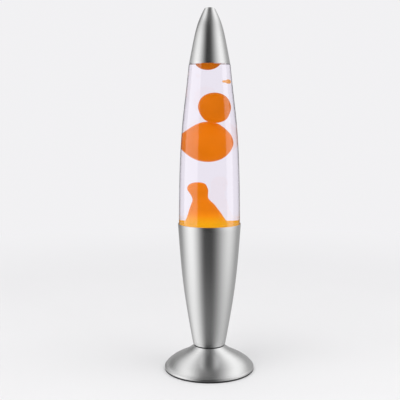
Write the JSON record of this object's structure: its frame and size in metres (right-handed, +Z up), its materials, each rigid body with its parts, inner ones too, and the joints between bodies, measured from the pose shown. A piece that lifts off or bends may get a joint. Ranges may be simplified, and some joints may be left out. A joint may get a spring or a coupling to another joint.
{
  "type": "lava lamp",
  "caption": "Rocket-shaped liquid-motion lamp: spun metal foot, tapered shell and pointed cap around a clear globe of liquid with drifting orange wax, lit from below.",
  "frame": {"origin": "on the lamp's axis, on the surface it stands on", "axes": "+Z up along the lamp's axis, +Y to the rear, where the mains lead's bush is"},
  "size_m": [0.103, 0.103, 0.41],
  "materials": {
    "spun_aluminium": "satin, finely spun in rings",
    "black_rubber": "matte",
    "black_plastic": "moulded, matte",
    "black_phenolic": "moulded, semi-gloss",
    "white_ceramic": "unglazed",
    "zinc_steel": "zinc plated",
    "brass": "plain",
    "nickel": "nickel plated",
    "solder": "solder",
    "black_glass": "gloss",
    "bulb_glass": "clear",
    "mirror_coating": "aluminised",
    "tungsten": "fine wire",
    "clear_glass": "clear",
    "clear_liquid": "clear liquid",
    "orange_wax": "translucent molten wax",
    "white_plastic": "moulded",
    "white_foam": "foam sheet"
  },
  "bodies": {
    "base": {"foot_skirt": "spun_aluminium", "foot_edging": "black_rubber", "bottom_plate": "black_plastic", "cord_bush": "black_rubber", "threaded_tube": "zinc_steel", "lock_washer": "zinc_steel", "tube_nut": "zinc_steel", "neck_gasket": "black_rubber", "body_shell": "spun_aluminium", "globe_seat": "black_rubber", "lamp_holder": "black_phenolic", "holder_insert": "white_ceramic", "holder_thread": "brass", "centre_contact": "brass", "terminal_screws": "brass"},
    "bulb_base": {"bulb_tip": "solder", "bulb_insulator": "black_glass"},
    "bulb": {"bulb_screw_shell": "nickel", "bulb_envelope": "bulb_glass", "bulb_reflector": "mirror_coating", "bulb_stem": "bulb_glass", "bulb_leads": "nickel", "bulb_filament": "tungsten"},
    "globe": {"glass_bottle": "clear_glass", "bottle_closure": "white_plastic", "closure_liner": "white_foam", "liquid": "clear_liquid", "wax_pool": "orange_wax", "heating_coil": "zinc_steel", "wax_trail": "orange_wax"},
    "wax_large": {"wax_blob_large": "orange_wax"},
    "wax_upper": {"wax_blob_upper": "orange_wax"},
    "wax_top": {"wax_blob_top": "orange_wax"},
    "cap": {"cap_shell": "spun_aluminium", "cap_pad": "black_rubber"}
  },
  "joints": [
    {"name": "globe_lift", "type": "slide", "parent": "base", "child": "globe", "axis": [0, 0, 1], "range_m": [0, 0.05]},
    {"name": "cap_lift", "type": "slide", "parent": "globe", "child": "cap", "axis": [0, 0, 1], "range_m": [0, 0.045]},
    {"name": "bulb_rise", "type": "slide", "parent": "base", "child": "bulb_base", "axis": [0, 0, 1], "range_m": [0, 0.0142]},
    {"name": "bulb_unscrew", "type": "hinge", "parent": "bulb_base", "child": "bulb", "pos_m": [0, 0, 0.06], "axis": [0, 0, 1], "range_deg": [0, 1800]},
    {"name": "wax_large_drift", "type": "slide", "parent": "globe", "child": "wax_large", "axis": [0, 0, 1], "range_m": [-0.018, 0], "deforming": ["liquid"]},
    {"name": "wax_upper_drift", "type": "slide", "parent": "globe", "child": "wax_upper", "axis": [0, 0, 1], "range_m": [0, 0.012], "deforming": ["liquid"]},
    {"name": "wax_top_drift", "type": "slide", "parent": "globe", "child": "wax_top", "axis": [0, 0, 1], "range_m": [-0.01, 0], "deforming": ["liquid"]}
  ],
  "couplings": [
    {"joint": "bulb_rise", "follows": "bulb_unscrew", "m_per_rad": 0.00044882}
  ]
}
